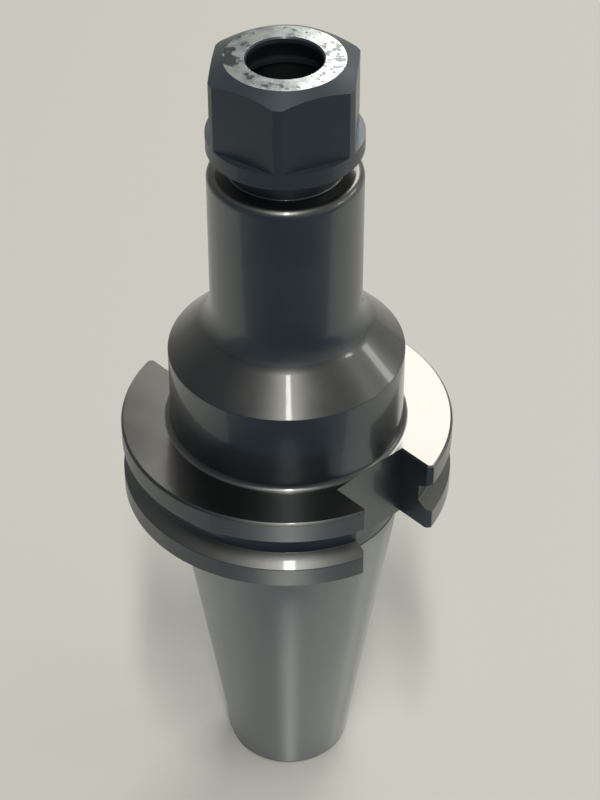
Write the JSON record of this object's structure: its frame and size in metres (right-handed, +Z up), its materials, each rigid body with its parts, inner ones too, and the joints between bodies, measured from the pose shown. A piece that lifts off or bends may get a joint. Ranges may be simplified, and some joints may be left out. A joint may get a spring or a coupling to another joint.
{
  "type": "collet chuck holder",
  "caption": "Steep-taper tool holder with a V-flange, drive slots and a slim nose whose hexagonal nut clamps a collet.",
  "frame": {"origin": "centre of the small end face of the taper, which the holder stands on", "axes": "+Z up along the holder's axis towards the nut; the two drive slots lie on +X and -X"},
  "size_m": [0.0608, 0.0636, 0.1657],
  "materials": {
    "blackened_steel": "black oxide over turned steel, semi-gloss, with a bare ground taper",
    "nut_steel": "black oxide, semi-gloss, with a bright ground face ring"
  },
  "bodies": {
    "holder": {"holder_body": "blackened_steel"},
    "nut": {"clamping_nut": "nut_steel"}
  },
  "joints": [
    {"name": "nut_turn", "type": "hinge", "parent": "holder", "child": "nut", "pos_m": [0, 0, 0.1567], "axis": [0, 0, 1], "range_deg": [0, 2700]}
  ]
}
